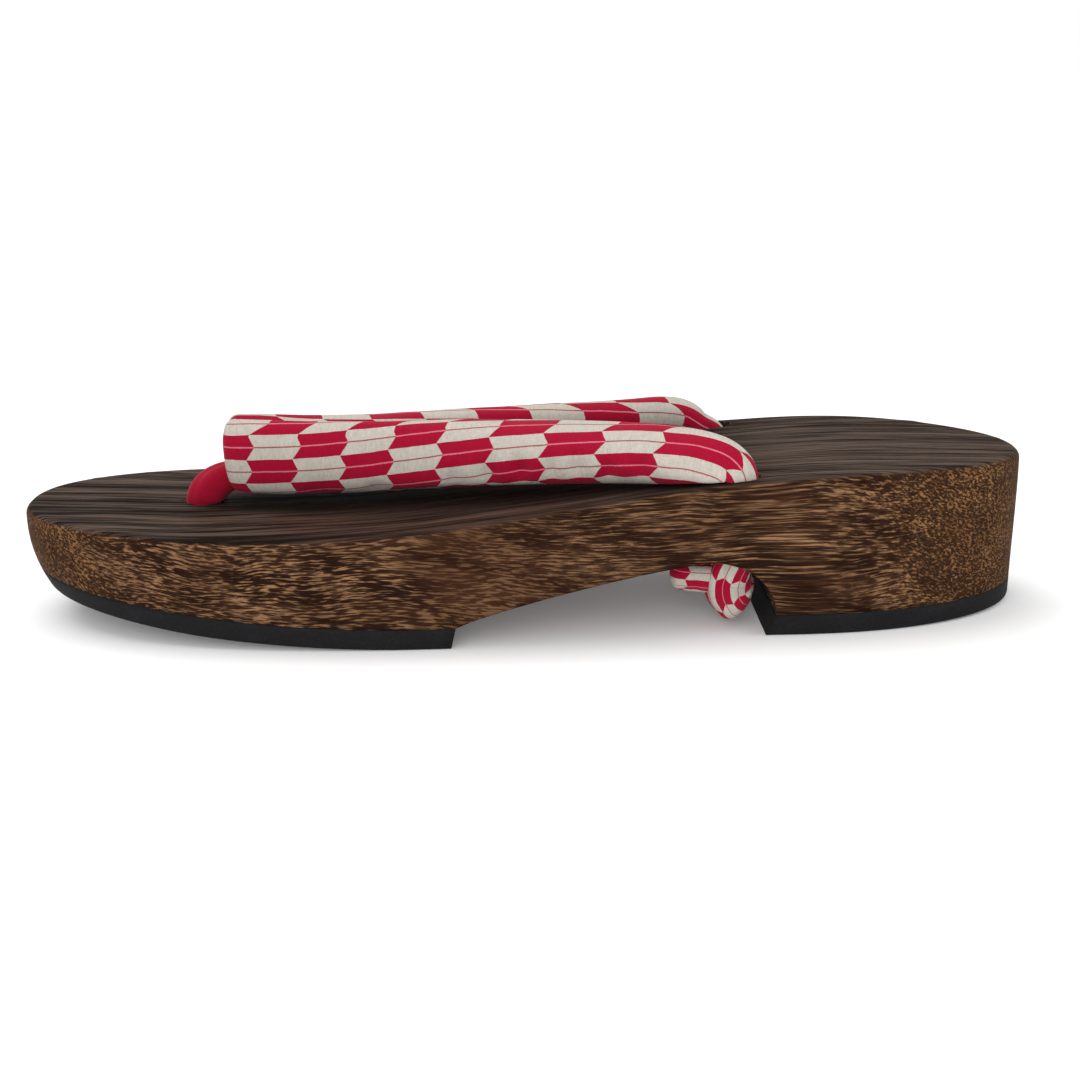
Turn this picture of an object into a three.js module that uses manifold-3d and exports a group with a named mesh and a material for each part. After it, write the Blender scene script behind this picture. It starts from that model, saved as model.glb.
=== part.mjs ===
// A woman's low geta sandal: one block of wood sawn to an arched profile, two rubber soles, and a
// padded strap whose toe thong and two ends go down through holes in the wood.
// Millimetres, +Z up. The toe points along -X, and the origin is on the floor under the middle.
// Places along the sandal are given as a station: the distance from the tip of the toe.

import * as THREE from "three";
import { mergeVertices } from "three/addons/utils/BufferGeometryUtils.js";
import Module from "manifold-3d";

const wasm = await Module();
wasm.setup();

// ---------------------------------------------------------------- driving dimensions

const LENGTH = 245;
const GAP = 0.3; // between pieces that touch

// The outline is two superelliptic ends with an easy taper between them.
const TOE = { reach: 92, halfWidth: 45, power: 2.3 };
const HEEL = { reach: 62, halfWidth: 38, power: 2.1 };
// The side walls lean in by draft for each millimetre down. Round the toe they also curl under,
// by toeCurl at curlDepth below the footbed.
const WALL = { draft: 0.035, toeCurl: 3.9, curlDepth: 18, curlPower: 3, reach: 55 };
const TOP_ROUND = 1.8; // radius of the worn edge round the footbed

// Height of the footbed along the sandal: dished under the toes, then up to the heel.
const FOOTBED = [
  { station: 0, height: 27.2 },
  { station: 22, height: 26.5 },
  { station: 47, height: 25.7 },
  { station: 72, height: 26.2 },
  { station: 97, height: 27.8 },
  { station: 122, height: 30.8 },
  { station: 147, height: 34.4 },
  { station: 172, height: 37.1 },
  { station: 208, height: 38.6 },
  { station: 245, height: 37.4 },
];

// The underside lifts off the floor towards the toe, and a little at the back of the heel.
const TOE_SPRING = { reach: 92, lift: 8.4, power: 1.6 };
const HEEL_SPRING = { reach: 45, lift: 1, power: 2 };

const RUBBER = { thickness: 5, edge: 0.8, forefootEnd: 106, heelStart: 181 };
const SOLE_SLANT = { forefoot: 1.2, heel: 2.4 }; // the soles' end faces slant forward going down

// The arch is sawn straight across: a long easy rise from the forefoot, then a tight drop.
const ARCH = { crown: 165, height: 18.2, frontPower: 1.2, rearPower: 2 };

const TOE_HOLE = { station: 43, radius: 4.5 };
const REAR_HOLE = { station: 173, side: 31.5, radius: 4.5 };

// The near band of the strap, from the nose to its hole. side and height place the middle of the
// section, tall and thick are its sizes, and lean tips its top towards the other band.
const BAND = [
  { station: 49.4, side: 3.6, height: 38.4, tall: 8.0, thick: 4.4, lean: 0 },
  { station: 50.2, side: 3.7, height: 38.3, tall: 13.8, thick: 7.0, lean: 0 },
  { station: 52.4, side: 3.8, height: 38.1, tall: 17.4, thick: 8.6, lean: 0 },
  { station: 58, side: 4.0, height: 37.8, tall: 18.6, thick: 9.2, lean: 2 },
  { station: 70, side: 4.2, height: 37.4, tall: 18.4, thick: 9.2, lean: 5 },
  { station: 83, side: 4.9, height: 37.6, tall: 18.2, thick: 9.2, lean: 10 },
  { station: 96, side: 6.8, height: 38.3, tall: 18.0, thick: 9.4, lean: 18 },
  { station: 108, side: 10.0, height: 39.2, tall: 17.8, thick: 9.6, lean: 25 },
  { station: 120, side: 14.0, height: 40.1, tall: 17.2, thick: 9.8, lean: 31 },
  { station: 132, side: 18.4, height: 40.9, tall: 16.6, thick: 10.0, lean: 36 },
  { station: 144, side: 23.0, height: 41.7, tall: 15.4, thick: 10.0, lean: 40 },
  { station: 154, side: 27.8, height: 42.1, tall: 14.8, thick: 10.0, lean: 43 },
  { station: 161, side: 31.2, height: 42.0, tall: 13.8, thick: 10.2, lean: 42 },
  { station: 167, side: 33.0, height: 41.2, tall: 12.2, thick: 10.0, lean: 32 },
  { station: 171, side: 32.8, height: 38.6, tall: 10.8, thick: 9.4, lean: 14 },
  { station: 172.6, side: 31.8, height: 34.0, tall: 9.0, thick: 8.8, lean: 0 },
  { station: 173, side: 31.5, height: 30.0, tall: 7.8, thick: 7.8, lean: 0 },
  { station: 173, side: 31.5, height: 21.3, tall: 7.8, thick: 7.8, lean: 0 },
];
// The far band is pulled a little tighter, most of all where it turns down into its hole.
const FAR_PULL = { from: 100, full: 155, station: -3, side: -2.6, height: -2.8 };
const SECTION = { sides: 16, power: 2.5 };

// The toe thong's centre line, from inside its hole to inside the nose of the strap.
const THONG = [
  { station: 43, height: 8.9, thick: 7.8 },
  { station: 43, height: 18.0, thick: 7.8 },
  { station: 43, height: 22.5, thick: 8.2 },
  { station: 43, height: 25.5, thick: 9.2 },
  { station: 44, height: 28.2, thick: 9.6 },
  { station: 46.3, height: 30.6, thick: 9.0 },
  { station: 49.5, height: 32.2, thick: 8.2 },
  { station: 55, height: 33.0, thick: 7.0 },
];

// Under the arch each strap end is a knot of two lobes on a short neck in the hole.
const KNOT_LOBES = [
  { station: 170.8, side: 28.8, height: 9.8, along: 6.8, across: 7.2, high: 6.6 },
  { station: 160.8, side: 27.6, height: 12.9, along: 5.6, across: 5.8, high: 3.8 },
  { station: 165.4, side: 28.0, height: 11.4, along: 3.6, across: 4.6, high: 3.4 },
];
const KNOT_NECK = { radius: 4.2, foot: 12, top: 21 };

// ---------------------------------------------------------------- curves of the shape

// Height through a table's rows by a monotone cubic, which keeps the rows' own highs and lows.
function throughRows(rows, station, column) {
  const last = rows.length - 1;
  let i = 0;
  while (i < last - 1 && station > rows[i + 1].station) i += 1;
  const slope = (k) => {
    if (k < 0 || k >= last) return null;
    return (rows[k + 1][column] - rows[k][column]) / (rows[k + 1].station - rows[k].station);
  };
  const tangent = (k) => {
    const before = slope(k - 1);
    const after = slope(k);
    if (before === null) return after;
    if (after === null) return before;
    return before * after <= 0 ? 0 : (2 * before * after) / (before + after);
  };
  const span = rows[i + 1].station - rows[i].station;
  const t = (station - rows[i].station) / span;
  const rise = t * t * (3 - 2 * t);
  return (
    rows[i][column] * (1 - rise) +
    rows[i + 1][column] * rise +
    span * tangent(i) * t * (1 - t) ** 2 -
    span * tangent(i + 1) * t * t * (1 - t)
  );
}

const footbed = (station) => throughRows(FOOTBED, station, "height");

function springLift(station) {
  const fromToe = Math.max(0, (TOE_SPRING.reach - station) / TOE_SPRING.reach);
  const fromBack = Math.max(0, (station - LENGTH + HEEL_SPRING.reach) / HEEL_SPRING.reach);
  return (
    TOE_SPRING.lift * fromToe ** TOE_SPRING.power +
    HEEL_SPRING.lift * fromBack ** HEEL_SPRING.power
  );
}

// Underside of the wood: on the rubber at both ends, and up over the arch between them.
function woodUnderside(station) {
  const ends = springLift(station) + RUBBER.thickness;
  if (station <= RUBBER.forefootEnd || station >= RUBBER.heelStart) return ends;
  const isFront = station < ARCH.crown;
  const foot = isFront ? RUBBER.forefootEnd : RUBBER.heelStart;
  const power = isFront ? ARCH.frontPower : ARCH.rearPower;
  const away = (station - ARCH.crown) / (foot - ARCH.crown);
  const rise = (1 - away ** power) ** (1 / power);
  return ends + (ARCH.height - RUBBER.thickness) * rise;
}

const ball = TOE.reach;
const heelCentre = LENGTH - HEEL.reach;

// One side of the outline, offset inwards: the round of the toe, the given stations between the
// ball and the heel, then the round of the heel. insetAt gives the offset at a station.
const TOE_STEPS = 14;
const HEEL_STEPS = 12;

function toeLine(insetAt) {
  const points = [];
  for (let i = 0; i < TOE_STEPS; i += 1) {
    const turn = (i / TOE_STEPS) * (Math.PI / 2);
    const back = Math.cos(turn) ** (2 / TOE.power);
    const inset = insetAt(ball - TOE.reach * back);
    const half = (TOE.halfWidth - inset) * Math.sin(turn) ** (2 / TOE.power);
    points.push({ station: ball - (TOE.reach - inset) * back, half });
  }
  return points;
}

function middleLine(insetAt, stations) {
  return stations.map((station) => {
    const t = (station - ball) / (heelCentre - ball);
    const ease = t * t * (3 - 2 * t);
    const half = TOE.halfWidth + (HEEL.halfWidth - TOE.halfWidth) * ease;
    return { station, half: half - insetAt(station) };
  });
}

function heelLine(insetAt) {
  const points = [];
  for (let i = 0; i <= HEEL_STEPS; i += 1) {
    const turn = (i / HEEL_STEPS) * (Math.PI / 2);
    const out = Math.sin(turn) ** (2 / HEEL.power);
    const inset = insetAt(heelCentre + HEEL.reach * out);
    const width = i === HEEL_STEPS ? 0 : Math.cos(turn) ** (2 / HEEL.power);
    const station = heelCentre + (HEEL.reach - inset) * out;
    points.push({ station, half: (HEEL.halfWidth - inset) * width });
  }
  return points;
}

// How far the side wall has leaned in by the time it is down at a height.
function draftAt(station, height) {
  const down = footbed(station) - height;
  const fromToe = Math.max(0, (WALL.reach - station) / WALL.reach);
  const curl = WALL.toeCurl * Math.max(0, down / WALL.curlDepth) ** WALL.curlPower;
  return down * WALL.draft + curl * fromToe ** 2;
}

const place = (station, side, height) => new THREE.Vector3(station - LENGTH / 2, side, height);

// ---------------------------------------------------------------- closed meshes

// Merges the corners that coincide and drops the triangles that this folds flat.
function closed(geometry) {
  const merged = mergeVertices(geometry, 1e-4);
  const index = merged.getIndex();
  const kept = [];
  for (let i = 0; i < index.count; i += 3) {
    const [a, b, c] = [index.getX(i), index.getX(i + 1), index.getX(i + 2)];
    if (a !== b && b !== c && c !== a) kept.push(a, b, c);
  }
  merged.setIndex(kept);
  return merged;
}

function geometryFrom(points, faces) {
  const geometry = new THREE.BufferGeometry();
  const positions = points.flatMap((p) => [p.x, p.y, p.z]);
  geometry.setAttribute("position", new THREE.Float32BufferAttribute(positions, 3));
  geometry.setIndex(faces.flat());
  return closed(geometry);
}

// A block from layers listed bottom first. A layer is a sideline with a height for each point,
// and the far side is its mirror image.
function blockGeometry(layers) {
  const count = layers[0].length;
  const ring = 2 * count;
  const points = layers.flatMap((layer) => [
    ...layer.map((p) => place(p.station, -p.half, p.height)),
    ...layer.map((p) => place(p.station, p.half, p.height)).reverse(),
  ]);
  const faces = [];
  const top = (layers.length - 1) * ring;
  for (let i = 0; i < count - 1; i += 1) {
    const mirrored = ring - 1 - i;
    faces.push([i, mirrored, i + 1], [mirrored, mirrored - 1, i + 1]);
    faces.push([top + i, top + i + 1, top + mirrored], [top + mirrored, top + i + 1, top + mirrored - 1]);
  }
  for (let k = 0; k < layers.length - 1; k += 1) {
    for (let i = 0; i < ring; i += 1) {
      const [low, next] = [k * ring + i, k * ring + ((i + 1) % ring)];
      faces.push([low, next, low + ring], [next, next + ring, low + ring]);
    }
  }
  return geometryFrom(points, faces);
}

// A skin through rings of equal length, closed at both ends by a flat fan.
function loftGeometry(rings) {
  const sides = rings[0].length;
  const points = rings.flat();
  const faces = [];
  for (let k = 0; k < rings.length - 1; k += 1) {
    for (let i = 0; i < sides; i += 1) {
      const [here, next] = [k * sides + i, k * sides + ((i + 1) % sides)];
      faces.push([here, next, here + sides], [next, next + sides, here + sides]);
    }
  }
  const last = (rings.length - 1) * sides;
  for (let i = 1; i < sides - 1; i += 1) {
    faces.push([0, i + 1, i], [last, last + i, last + i + 1]);
  }
  return geometryFrom(points, faces);
}

// Superelliptic rings square to a path. Each row gives tall and thick, and lean in degrees turns
// the section about the path. The tall way starts out along tallStart, and is carried along the
// path without twisting.
function sweptRings(path, rows, tallStart, swell) {
  const up = tallStart.clone();
  let before = null;
  return path.map((centre, k) => {
    const ahead = path[Math.min(k + 1, path.length - 1)];
    const behind = path[Math.max(k - 1, 0)];
    const along = ahead.clone().sub(behind).normalize();
    if (before) up.applyQuaternion(new THREE.Quaternion().setFromUnitVectors(before, along));
    up.addScaledVector(along, -up.dot(along)).normalize();
    before = along;
    const tallAxis = up.clone().applyAxisAngle(along, THREE.MathUtils.degToRad(rows[k].lean));
    const thickAxis = tallAxis.clone().cross(along);
    const ring = [];
    for (let i = 0; i < SECTION.sides; i += 1) {
      const turn = (i / SECTION.sides) * 2 * Math.PI;
      const rounded = (wave) => Math.sign(wave) * Math.abs(wave) ** (2 / SECTION.power);
      ring.push(
        centre
          .clone()
          .addScaledVector(thickAxis, (rows[k].thick / 2 + swell) * rounded(Math.cos(turn)))
          .addScaledVector(tallAxis, (rows[k].tall / 2 + swell) * rounded(Math.sin(turn)))
      );
    }
    return ring;
  });
}

// ---------------------------------------------------------------- joins and cuts

function solid(geometry) {
  const bare = geometry.clone();
  bare.deleteAttribute("normal");
  bare.deleteAttribute("uv");
  const merged = closed(bare);
  return new wasm.Manifold(
    new wasm.Mesh({
      numProp: 3,
      vertProperties: new Float32Array(merged.getAttribute("position").array),
      triVerts: new Uint32Array(merged.getIndex().array),
    })
  );
}

function geometryOf(manifold) {
  const mesh = manifold.getMesh();
  const geometry = new THREE.BufferGeometry();
  geometry.setAttribute("position", new THREE.BufferAttribute(new Float32Array(mesh.vertProperties), 3));
  geometry.setIndex(new THREE.BufferAttribute(new Uint32Array(mesh.triVerts), 1));
  return geometry;
}

function uprightRod(station, side, radius, foot, top) {
  const rod = new THREE.CylinderGeometry(radius, radius, top - foot, 20);
  rod.rotateX(Math.PI / 2);
  const middle = place(station, side, (foot + top) / 2);
  rod.translate(middle.x, middle.y, middle.z);
  return solid(rod);
}

// ---------------------------------------------------------------- the wood

// Stations of the sawn arch: even steps up the long side, even turns round the tight one.
const ARCH_STATIONS = [
  ...[0, 3, 7, 13, 20, 28, 37, 46, 53].map((step) => RUBBER.forefootEnd + step),
  ...[0, 15, 30, 45, 60, 75].map(
    (turn) =>
      ARCH.crown + (RUBBER.heelStart - ARCH.crown) * Math.sin(THREE.MathUtils.degToRad(turn))
  ),
  RUBBER.heelStart,
];
const FOREFOOT_STATIONS = [ball, (ball + RUBBER.forefootEnd) / 2];

// The block with its three holes. swell grows it all round, for cutting what rests against it.
function woodSolid(swell) {
  const stations = [...FOREFOOT_STATIONS, ...ARCH_STATIONS];
  const line = (insetAt) => [
    ...toeLine(insetAt),
    ...middleLine(insetAt, stations),
    ...heelLine(insetAt),
  ];
  const floor = (station) => woodUnderside(station) - swell;
  const underside = line((station) => draftAt(station, floor(station)) - swell);
  const layers = [underside.map((p) => ({ ...p, height: floor(p.station) }))];
  for (const turn of [0, 30, 60, 90].map(THREE.MathUtils.degToRad)) {
    const inset = TOP_ROUND * (1 - Math.cos(turn)) - swell;
    const drop = TOP_ROUND * (1 - Math.sin(turn)) - swell;
    layers.push(line(() => inset).map((p) => ({ ...p, height: footbed(p.station) - drop })));
  }
  const holes = [
    { station: TOE_HOLE.station, side: 0, radius: TOE_HOLE.radius },
    { station: REAR_HOLE.station, side: -REAR_HOLE.side, radius: REAR_HOLE.radius },
    { station: REAR_HOLE.station, side: REAR_HOLE.side, radius: REAR_HOLE.radius },
  ];
  return holes.reduce(
    (wood, hole) =>
      wood.subtract(uprightRod(hole.station, hole.side, hole.radius - swell, 0, LENGTH)),
    solid(blockGeometry(layers))
  );
}

// ---------------------------------------------------------------- the rubber soles

// A sole follows the springs of the underside, flush with the wood, and its lower edge is broken.
function soleGeometry(lineAt) {
  const layer = (above, extraInset) => {
    const floor = (station) => springLift(station) + above;
    const line = lineAt((station) => draftAt(station, floor(station)) + extraInset, above);
    return line.map((p) => ({ ...p, height: floor(p.station) }));
  };
  return blockGeometry([
    layer(0, RUBBER.edge),
    layer(RUBBER.edge, 0),
    layer(RUBBER.thickness - GAP, 0),
  ]);
}

const slantedEnd = (end, slant, above) => end - slant * (1 - above / RUBBER.thickness);

const forefootLine = (insetAt, above) => {
  const end = slantedEnd(RUBBER.forefootEnd, SOLE_SLANT.forefoot, above);
  return [...toeLine(insetAt), ...middleLine(insetAt, [...FOREFOOT_STATIONS, end])];
};

const heelSoleLine = (insetAt, above) => {
  const front = slantedEnd(RUBBER.heelStart, SOLE_SLANT.heel, above);
  return [...middleLine(insetAt, [front]), ...heelLine(insetAt)];
};

// ---------------------------------------------------------------- the strap

function bandSolid(hand, swell) {
  const path = BAND.map((row) => {
    const reached = (row.station - FAR_PULL.from) / (FAR_PULL.full - FAR_PULL.from);
    const isFarAndFree = hand > 0 && row.height > footbed(row.station);
    const pull = isFarAndFree ? THREE.MathUtils.clamp(reached, 0, 1) : 0;
    const side = row.side + pull * FAR_PULL.side;
    return place(
      row.station + pull * FAR_PULL.station,
      hand * side,
      row.height + pull * FAR_PULL.height
    );
  });
  const rows = BAND.map((row) => ({ ...row, lean: hand * row.lean }));
  return solid(loftGeometry(sweptRings(path, rows, new THREE.Vector3(0, 0, 1), swell)));
}

// Both bands joined at the nose, pressed flat where they lie on the wood.
const strapSolid = (swell) =>
  bandSolid(-1, swell).add(bandSolid(1, swell)).subtract(woodSolid(GAP - swell));

// The thong is a padded tube that stops where it meets the nose of the strap.
function makeThong() {
  const path = THONG.map((row) => place(row.station, 0, row.height));
  const rows = THONG.map((row) => ({ tall: row.thick, thick: row.thick, lean: 0 }));
  const tube = solid(loftGeometry(sweptRings(path, rows, new THREE.Vector3(-1, 0, 0), 0)));
  return geometryOf(tube.subtract(strapSolid(GAP)).subtract(woodSolid(GAP)));
}

function makeKnot(hand) {
  const side = hand * REAR_HOLE.side;
  let knot = uprightRod(REAR_HOLE.station, side, KNOT_NECK.radius, KNOT_NECK.foot, KNOT_NECK.top);
  for (const lobe of KNOT_LOBES) {
    const rounded = new THREE.SphereGeometry(1, 14, 9);
    rounded.scale(lobe.along, lobe.across, lobe.high);
    const middle = place(lobe.station, hand * lobe.side, lobe.height);
    rounded.translate(middle.x, middle.y, middle.z);
    knot = knot.add(solid(rounded));
  }
  return geometryOf(knot.subtract(woodSolid(GAP)));
}

// ---------------------------------------------------------------- the sandal

const charredWood = new THREE.MeshStandardMaterial({ color: 0x4a3022, roughness: 0.6, metalness: 0 });
const blackRubber = new THREE.MeshStandardMaterial({ color: 0x1c1c1c, roughness: 0.8, metalness: 0 });
const redCotton = new THREE.MeshStandardMaterial({ color: 0xa60523, roughness: 0.9, metalness: 0 });
const arrowCotton = new THREE.MeshStandardMaterial({ color: 0xc9556a, roughness: 0.9, metalness: 0 });

const geta = new THREE.Group();

function addPiece(name, geometry, material) {
  const mesh = new THREE.Mesh(geometry, material);
  mesh.name = name;
  geta.add(mesh);
}

addPiece("wooden_base", geometryOf(woodSolid(0)), charredWood);
addPiece("forefoot_sole", soleGeometry(forefootLine), blackRubber);
addPiece("heel_sole", soleGeometry(heelSoleLine), blackRubber);
addPiece("strap", geometryOf(strapSolid(0)), arrowCotton);
addPiece("toe_thong", makeThong(), redCotton);
addPiece("strap_knot_near", makeKnot(-1), arrowCotton);
addPiece("strap_knot_far", makeKnot(1), arrowCotton);

export default geta;
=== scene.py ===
import math

import bmesh
import bpy
from bpy.props import FloatProperty, FloatVectorProperty, PointerProperty
from mathutils import Matrix, Quaternion, Vector, noise


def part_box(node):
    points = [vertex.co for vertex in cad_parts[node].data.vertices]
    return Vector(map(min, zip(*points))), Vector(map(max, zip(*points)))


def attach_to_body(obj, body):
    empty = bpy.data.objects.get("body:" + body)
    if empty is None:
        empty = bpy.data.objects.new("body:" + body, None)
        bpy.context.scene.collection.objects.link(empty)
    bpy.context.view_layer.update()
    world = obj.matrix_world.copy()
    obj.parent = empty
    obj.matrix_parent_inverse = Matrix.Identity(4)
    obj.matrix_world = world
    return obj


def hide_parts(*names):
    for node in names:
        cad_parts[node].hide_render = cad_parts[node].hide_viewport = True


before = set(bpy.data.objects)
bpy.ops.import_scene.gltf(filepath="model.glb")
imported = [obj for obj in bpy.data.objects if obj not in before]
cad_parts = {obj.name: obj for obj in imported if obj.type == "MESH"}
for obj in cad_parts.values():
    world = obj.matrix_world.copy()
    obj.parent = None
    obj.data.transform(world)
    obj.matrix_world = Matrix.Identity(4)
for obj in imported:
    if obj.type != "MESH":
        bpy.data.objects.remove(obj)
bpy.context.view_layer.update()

bl_info = {
    "name": "Geta Sandal",
    "version": (1, 0, 0),
    "blender": (4, 5, 0),
    "location": "View3D > Sidebar > Geta",
    "description": "Builds a woman's low wooden geta with rubber soles and a padded cotton strap",
    "category": "Add Mesh",
}

MM = 0.001  # the shape is worked out in millimetres and placed in metres
BODY = "root"
LENGTH = (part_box("wooden_base")[1].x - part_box("wooden_base")[0].x) / MM


def table(columns, *rows):
    """The rows of a table, each as a dictionary by the names of its columns."""
    return [dict(zip(columns.split(), row)) for row in rows]


# ------------------------------------------------------------------ tables of the shape, in mm
# A station is the distance from the tip of the toe.

FOOTBED = table(
    "station height",
    (0, 27.2),
    (22, 26.5),
    (47, 25.7),
    (72, 26.2),
    (97, 27.8),
    (122, 30.8),
    (147, 34.4),
    (172, 37.1),
    (208, 38.6),
    (245, 37.4),
)
TOE_SPRING = {"reach": 92, "lift": 8.4, "power": 1.6}
HEEL_SPRING = {"reach": 45, "lift": 1, "power": 2}
ARCH = {"start": 106, "crown": 165, "end": 181, "height": 18.2, "front_power": 1.2, "rear_power": 2}

# The near band, from the nose to its hole: the middle of each section, its sizes, and its lean
# in degrees towards the other band.
BAND = table(
    "station side height tall thick lean",
    (49.2, 4.0, 38.2, 18.0, 8.4, 0),
    (57, 4.2, 37.8, 18.4, 8.8, 1),
    (70, 4.4, 37.4, 18.2, 9.0, 5),
    (83, 5.1, 37.6, 18.0, 9.2, 10),
    (96, 7.0, 38.3, 17.8, 9.4, 18),
    (108, 10.1, 39.2, 17.6, 9.6, 25),
    (120, 14.0, 40.1, 17.0, 9.8, 31),
    (132, 18.4, 40.9, 16.4, 10.0, 36),
    (144, 23.0, 41.6, 15.6, 10.0, 40),
    (154, 27.8, 42.0, 15.0, 10.0, 43),
    (161, 31.2, 41.9, 14.0, 10.2, 42),
    (167, 33.0, 41.1, 12.4, 10.0, 32),
    (171, 32.8, 38.6, 10.8, 9.4, 14),
    (172.6, 31.8, 34.0, 8.6, 8.4, 0),
    (173, 31.5, 30.0, 7.8, 7.8, 0),
    (173, 31.5, 19.0, 7.8, 7.8, 0),
)
FAR_PULL = {"from": 100, "full": 155, "station": -3, "side": -2.6, "height": -2.8}

THONG = table(
    "station side height tall thick",
    (43, 0, 12.0, 7.6, 7.6),
    (43, 0, 18.0, 7.6, 7.6),
    (43, 0, 22.5, 7.9, 7.9),
    (43, 0, 25.5, 9.0, 9.4),
    (44, 0, 28.2, 9.4, 10.0),
    (46.3, 0, 30.6, 8.8, 9.4),
    (49.5, 0, 32.2, 7.8, 8.0),
    (55.0, 0, 33.0, 6.2, 6.4),
)

HOLES = [
    {"station": 43, "side": 0, "radius": 4.5},
    {"station": 173, "side": -31.5, "radius": 4.5},
    {"station": 173, "side": 31.5, "radius": 4.5},
]

TOE = {"reach": 92, "half_width": 45, "power": 2.3}
HEEL = {"reach": 62, "half_width": 38, "power": 2.1}
HEEL_CENTRE = LENGTH - HEEL["reach"]
RUBBER = {"thickness": 5, "edge": 0.8, "forefoot_slant": 1.2, "heel_slant": 2.4, "clear": 0.05}
WALL = {"draft": 0.035, "toe_curl": 3.9, "curl_depth": 18, "curl_power": 3, "reach": 55}
TOP_ROUND = 1.8  # radius of the worn edge round the footbed
DRILL = {"sides": 40, "length": 80, "middle": 30}
NOSE_LEAN = {"slope": 0.13, "height": 38, "over": 16}
NOSE_POWER = 2.8  # 2 rounds a sleeve's end like a ball, and more makes it blunt

# Every sleeve's section and the length of its rounded end. Each is kept clear of the wood, and
# within beside_hole of a hole's edge it is taken to go down that hole.
SLEEVE = {
    "sides": 32, "power": 2.4, "merge": 1e-5, "band_nose": 3.4, "knot_nose": 3.0,
    "clear": 0.3, "beside_hole": 1.4,
}

# How Cloth fills a sleeve: its settings, the frames it runs for, how far from its end a sleeve is
# held, over what length the hold comes on, and the most that it moves the thong, in metres.
WADDING = {
    "quality": 6, "mass": 0.2, "tension_stiffness": 30, "compression_stiffness": 30,
    "shear_stiffness": 12, "bending_stiffness": 0.4,
}
FILLING = {"frames": 20, "band_held": 24, "thong_held": 2, "hold_over": 6, "thong_cap": 0.0005}

# Under the arch each strap end is knotted: a lobe that comes down from its hole and curls under,
# and a short tail that points forward. Both tables start at the free end.
KNOT_LOBE = table(
    "station side height tall thick",
    (174.4, 28.6, 4.6, 8.4, 9.0),
    (172.4, 28.4, 6.4, 11.0, 11.4),
    (170.9, 28.4, 9.2, 12.4, 12.8),
    (170.4, 28.8, 12.4, 12.2, 12.4),
    (171.2, 29.9, 15.6, 10.0, 10.0),
    (172.5, 31.1, 18.4, 8.0, 8.0),
    (173.0, 31.5, 21.0, 7.8, 7.8),
)
KNOT_TAIL = table(
    "station side height tall thick",
    (156.6, 27.0, 13.2, 6.6, 7.6),
    (159.0, 27.2, 13.0, 7.8, 10.0),
    (162.4, 27.6, 12.8, 8.0, 11.0),
    (165.6, 28.0, 12.4, 7.6, 9.8),
    (168.8, 28.4, 11.8, 6.0, 7.4),
)

CLOTH_MAP = "cloth"
CLOTH_UNIT = 100  # millimetres of cloth in one unit of its UV map

# The arrow pattern: cells grow along the band from the nose, in rows round it. Every row lies a
# little back from the one below it, by tilt, and those above slant_from more so, by slant.
ARROWS = {
    "cell": 10.9, "growth": 0.037, "cut_off": 0.454, "row": 6.1, "first_edge": 0.45,
    "drift": 0.036, "tilt": 0.12, "slant": 0.7, "slant_from": 5.5, "point": 0.15, "line": 0.17,
}

# Puckers of a band, most of them along its lower edge, and folds of the toe thong and the knots,
# listed one by one: the distance along the sleeve and round it, how far each one spreads, and how deep it
# is.
BAND_PUCKERS = table(
    "along around long wide deep",
    (3, 6.8, 2.2, 2.2, 0.4),
    (24, -8.4, 3.4, 2.8, 0.6),
    (38, -8.6, 2.8, 2.6, 0.8),
    (58, -8.0, 2.0, 2.6, 1.2),
    (67, -7.2, 1.8, 2.8, 1.6),
    (75.5, -6.6, 1.8, 2.8, 1.9),
    (83, -7.0, 1.6, 3.0, 1.9),
    (90, -6.4, 1.8, 2.8, 2.0),
    (98, -7.0, 1.7, 2.8, 1.7),
    (107, -6.6, 2.0, 2.6, 1.3),
)
THONG_FOLDS = table(
    "along around long wide deep",
    (16, -5.0, 7.0, 0.9, 0.55),
    (18, -1.6, 6.0, 0.8, 0.4),
    (15, 2.2, 8.0, 0.9, 0.55),
    (19, 6.4, 6.0, 1.0, 0.5),
    (14, 10.0, 6.0, 1.0, 0.5),
)
LOBE_FOLDS = table(
    "along around long wide deep",
    (9, -7.5, 7.0, 0.9, 1.0),
    (12, -2.6, 5.0, 0.8, 1.1),
    (7, 3.4, 4.0, 0.9, 0.6),
    (13, 8.0, 6.0, 1.0, 1.0),
    (10, 13.5, 8.0, 1.2, 1.1),
    (10, -13.0, 8.0, 1.2, 1.0),
    (4, 0.0, 1.2, 9.0, 0.5),
)
TAIL_FOLDS = table(
    "along around long wide deep",
    (3.4, -1.0, 0.8, 5.0, 0.5),
    (6.6, 1.0, 0.8, 6.0, 0.5),
    (6, -3.6, 4.0, 0.8, 0.5),
    (7, 7.5, 5.0, 1.0, 0.6),
)

# ------------------------------------------------------------------ curves of the shape


def span_through(places, values, at):
    """The value at a place, by a cubic through the rows that keeps their own highs and lows."""
    last = len(places) - 1
    i = 0
    while i < last - 1 and at > places[i + 1]:
        i += 1

    def slope(k):
        return (values[k + 1] - values[k]) / (places[k + 1] - places[k])

    def tangent(k):
        if k == 0:
            return slope(0)
        if k == last:
            return slope(last - 1)
        before, after = slope(k - 1), slope(k)
        return 0 if before * after <= 0 else 2 * before * after / (before + after)

    span = places[i + 1] - places[i]
    t = (at - places[i]) / span
    rise = t * t * (3 - 2 * t)
    bend = span * (tangent(i) * t * (1 - t) ** 2 - tangent(i + 1) * t * t * (1 - t))
    return values[i] * (1 - rise) + values[i + 1] * rise + bend


def clamp(value, low, high):
    return max(low, min(high, value))


def ease(t):
    t = clamp(t, 0, 1)
    return t * t * (3 - 2 * t)


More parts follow.
